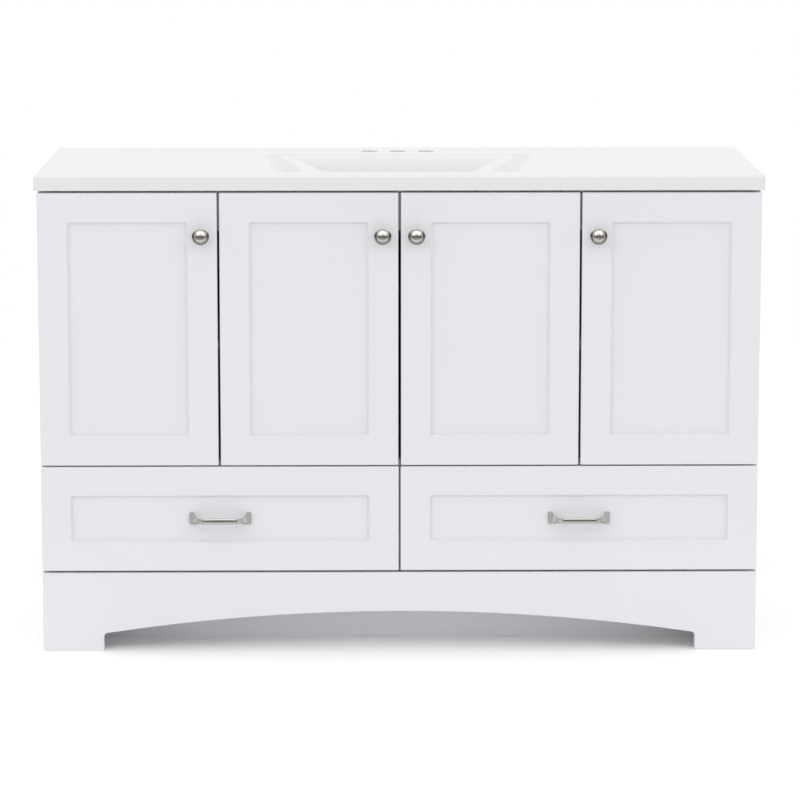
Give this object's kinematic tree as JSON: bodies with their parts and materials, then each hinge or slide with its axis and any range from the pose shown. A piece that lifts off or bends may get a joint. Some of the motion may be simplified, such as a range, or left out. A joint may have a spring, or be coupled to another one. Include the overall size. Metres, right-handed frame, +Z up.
{
  "type": "bathroom vanity cabinet",
  "caption": "White bathroom vanity with a one-piece stone-look top and basin, framed doors, drawers and an arched base.",
  "frame": {"origin": "on the floor, in the middle of the whole object's width and depth", "axes": "+X to the right seen from the front, +Y to the wall, so the doors face -Y, +Z up"},
  "size_m": [1.232, 0.499, 0.82],
  "materials": {
    "satin_nickel": "satin",
    "hinge_steel": "bright zinc plate",
    "bumper_rubber": "soft",
    "moulded_stone": "gloss gel coat",
    "white_paint": "satin white paint on fibreboard",
    "drawer_wood": "clear lacquered plywood",
    "carcass_board": "white melamine on board"
  },
  "bodies": {
    "cabinet": {"side_panel_left": "white_paint", "side_panel_right": "white_paint", "partition_left": "carcass_board", "partition_right": "carcass_board", "middle_deck": "carcass_board", "bottom_panel": "carcass_board", "drawer_divider": "carcass_board", "front_top_rail": "carcass_board", "rear_top_rail": "carcass_board", "back_panel_left": "carcass_board", "back_panel_right": "carcass_board", "back_panel_middle": "carcass_board", "back_panel_drawers": "carcass_board", "shelf_left": "carcass_board", "shelf_right": "carcass_board", "shelf_pins": "hinge_steel", "base_board": "white_paint", "toe_kick_board": "white_paint", "base_glue_blocks": "carcass_board", "corner_brackets": "carcass_board", "door_bumpers": "bumper_rubber", "countertop_basin": "moulded_stone", "hinge_arms": "hinge_steel", "hinge_plates": "hinge_steel", "slide_outer_rails": "hinge_steel"},
    "door_1": {"door_1_frame": "white_paint", "door_1_panel": "white_paint", "door_1_knob": "satin_nickel", "door_1_hinge_cups": "hinge_steel"},
    "door_2": {"door_2_frame": "white_paint", "door_2_panel": "white_paint", "door_2_knob": "satin_nickel", "door_2_hinge_cups": "hinge_steel"},
    "door_3": {"door_3_frame": "white_paint", "door_3_panel": "white_paint", "door_3_knob": "satin_nickel", "door_3_hinge_cups": "hinge_steel"},
    "door_4": {"door_4_frame": "white_paint", "door_4_panel": "white_paint", "door_4_knob": "satin_nickel", "door_4_hinge_cups": "hinge_steel"},
    "drawer_1": {"drawer_1_front_frame": "white_paint", "drawer_1_front_panel": "white_paint", "drawer_1_box_sides": "drawer_wood", "drawer_1_box_ends": "drawer_wood", "drawer_1_box_bottom": "drawer_wood", "drawer_1_pull": "satin_nickel", "drawer_1_slide_inner": "hinge_steel"},
    "drawer_1_middle_rails": {"drawer_1_slide_middle": "hinge_steel"},
    "drawer_2": {"drawer_2_front_frame": "white_paint", "drawer_2_front_panel": "white_paint", "drawer_2_box_sides": "drawer_wood", "drawer_2_box_ends": "drawer_wood", "drawer_2_box_bottom": "drawer_wood", "drawer_2_pull": "satin_nickel", "drawer_2_slide_inner": "hinge_steel"},
    "drawer_2_middle_rails": {"drawer_2_slide_middle": "hinge_steel"}
  },
  "joints": [
    {"name": "door_1_hinge", "type": "hinge", "parent": "cabinet", "child": "door_1", "pos_m": [-0.6035, -0.2155, 0.5566], "axis": [0, 0, -1], "range_deg": [0, 100]},
    {"name": "door_2_hinge", "type": "hinge", "parent": "cabinet", "child": "door_2", "pos_m": [-0.29725, -0.2155, 0.5566], "axis": [0, 0, -1], "range_deg": [0, 100]},
    {"name": "door_3_hinge", "type": "hinge", "parent": "cabinet", "child": "door_3", "pos_m": [0.29725, -0.2155, 0.5566], "axis": [0, 0, 1], "range_deg": [0, 100]},
    {"name": "door_4_hinge", "type": "hinge", "parent": "cabinet", "child": "door_4", "pos_m": [0.6035, -0.2155, 0.5566], "axis": [0, 0, 1], "range_deg": [0, 100]},
    {"name": "drawer_1_slide", "type": "slide", "parent": "cabinet", "child": "drawer_1", "axis": [0, -1, 0], "range_m": [0, 0.38]},
    {"name": "drawer_1_middle_slide", "type": "slide", "parent": "cabinet", "child": "drawer_1_middle_rails", "axis": [0, -1, 0], "range_m": [0, 0.19]},
    {"name": "drawer_2_slide", "type": "slide", "parent": "cabinet", "child": "drawer_2", "axis": [0, -1, 0], "range_m": [0, 0.38]},
    {"name": "drawer_2_middle_slide", "type": "slide", "parent": "cabinet", "child": "drawer_2_middle_rails", "axis": [0, -1, 0], "range_m": [0, 0.19]}
  ],
  "couplings": [
    {"joint": "drawer_1_middle_slide", "follows": "drawer_1_slide", "ratio": 0.5},
    {"joint": "drawer_2_middle_slide", "follows": "drawer_2_slide", "ratio": 0.5}
  ]
}
